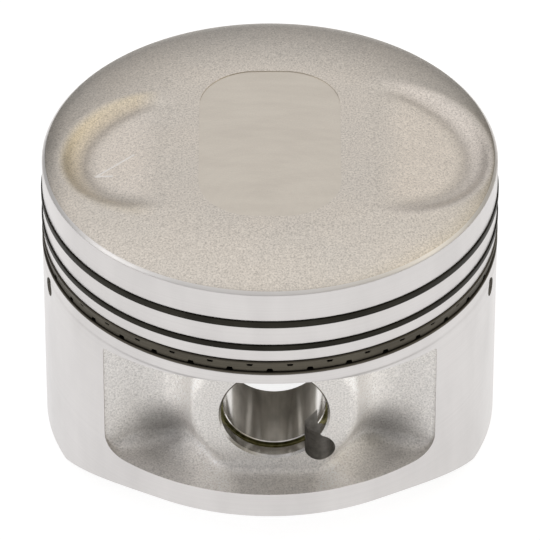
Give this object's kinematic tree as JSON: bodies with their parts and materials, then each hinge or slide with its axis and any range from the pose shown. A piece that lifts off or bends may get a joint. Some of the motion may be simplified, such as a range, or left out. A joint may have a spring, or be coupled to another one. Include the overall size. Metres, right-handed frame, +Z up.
{
  "type": "motorcycle piston",
  "caption": "Four-stroke piston with a full skirt, side recesses at the pin bosses, valve reliefs in a raised crown, fitted rings and an open pin bore.",
  "frame": {"origin": "on the cylinder axis, level with the foot of the thrust skirts", "axes": "+Z up the cylinder axis to the crown, pin axis along Y, thrust faces towards -X and +X"},
  "size_m": [0.072, 0.072, 0.0522],
  "materials": {
    "piston_alloy": "blasted cast crown and recesses, fine turned lands and skirt",
    "ring_iron": "dark phosphate",
    "rail_steel": "dark satin steel",
    "expander_steel": "pressed spring steel",
    "spring_wire": "drawn spring wire"
  },
  "bodies": {
    "piston": {"piston": "piston_alloy", "circlip": "spring_wire"},
    "top_ring": {"top_ring": "ring_iron"},
    "second_ring": {"second_ring": "ring_iron"},
    "oil_ring": {"oil_ring_upper_rail": "rail_steel", "oil_ring_expander": "expander_steel", "oil_ring_lower_rail": "rail_steel"}
  },
  "joints": [
    {"name": "top_ring_turn", "type": "hinge", "parent": "piston", "child": "top_ring", "pos_m": [0, 0, 0.0439], "axis": [0, 0, 1], "continuous": true},
    {"name": "second_ring_turn", "type": "hinge", "parent": "piston", "child": "second_ring", "pos_m": [0, 0, 0.0394], "axis": [0, 0, 1], "continuous": true},
    {"name": "oil_ring_turn", "type": "hinge", "parent": "piston", "child": "oil_ring", "pos_m": [0, 0, 0.0355], "axis": [0, 0, 1], "continuous": true}
  ]
}
